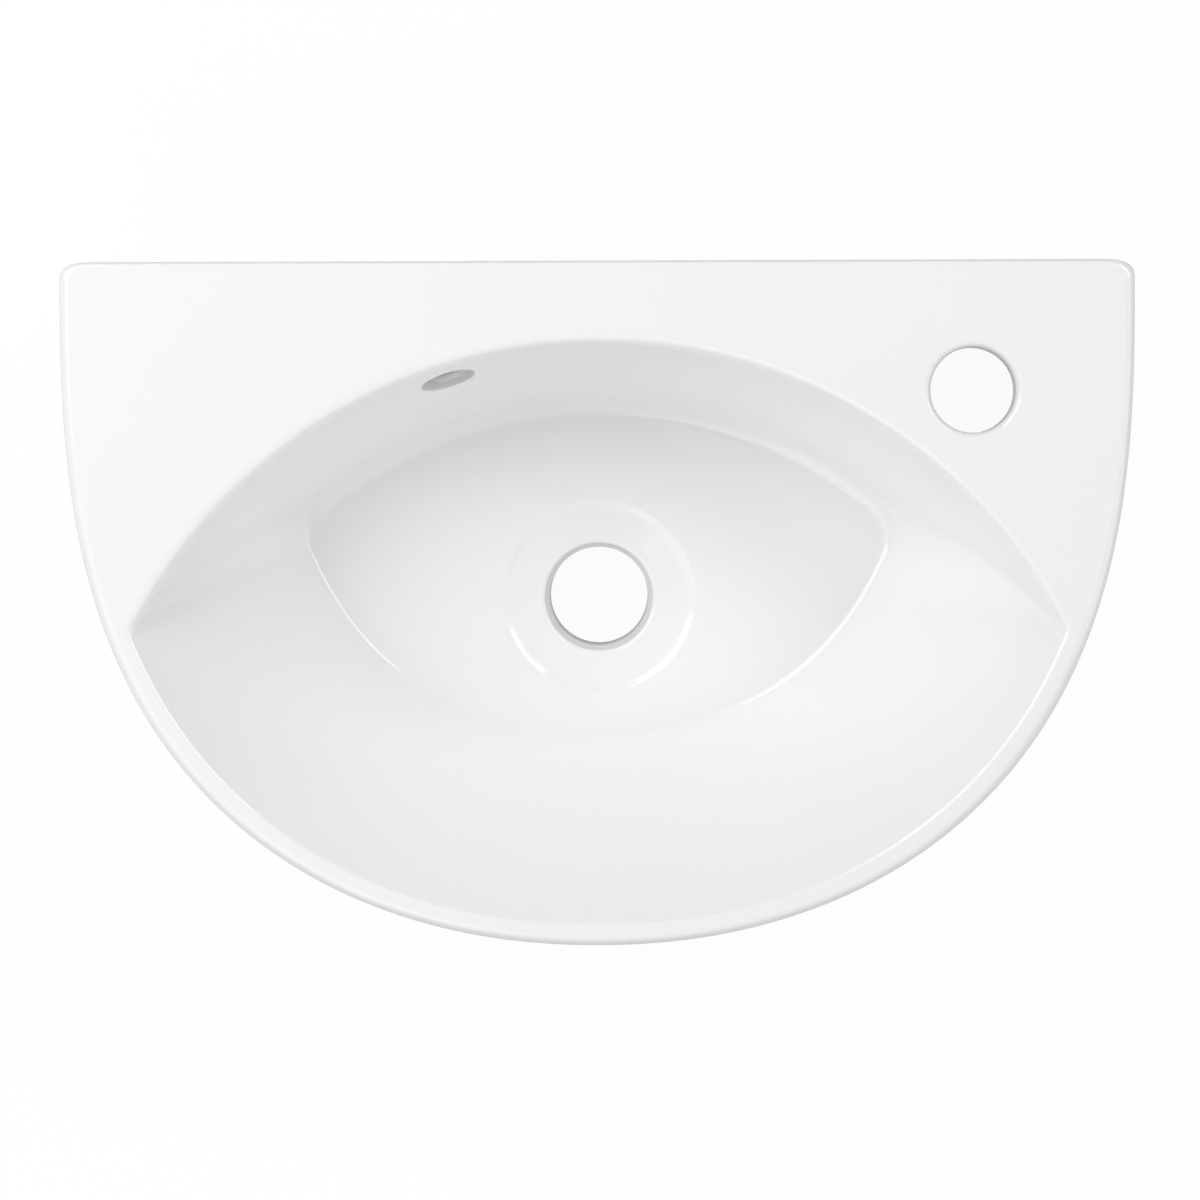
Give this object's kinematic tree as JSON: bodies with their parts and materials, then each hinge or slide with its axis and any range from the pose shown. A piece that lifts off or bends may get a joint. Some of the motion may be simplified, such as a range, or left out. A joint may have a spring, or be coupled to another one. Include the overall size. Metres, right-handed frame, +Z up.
{
  "type": "wall-mounted hand basin",
  "caption": "Small D-shaped white china wall basin with an eye-shaped bowl, a tap hole in the right of its deck, an overflow hole and an open waste hole.",
  "frame": {"origin": "on the wall face, midway between the two fixing holes", "axes": "+X along the wall to the right as seen from the front, +Y into the wall, +Z up"},
  "size_m": [0.44, 0.28, 0.14],
  "materials": {
    "china": "glossy white glaze",
    "nylon": "moulded, satin"
  },
  "bodies": {
    "root": {"basin": "china", "fixing_bush_left": "nylon", "fixing_bush_right": "nylon"}
  },
  "joints": []
}
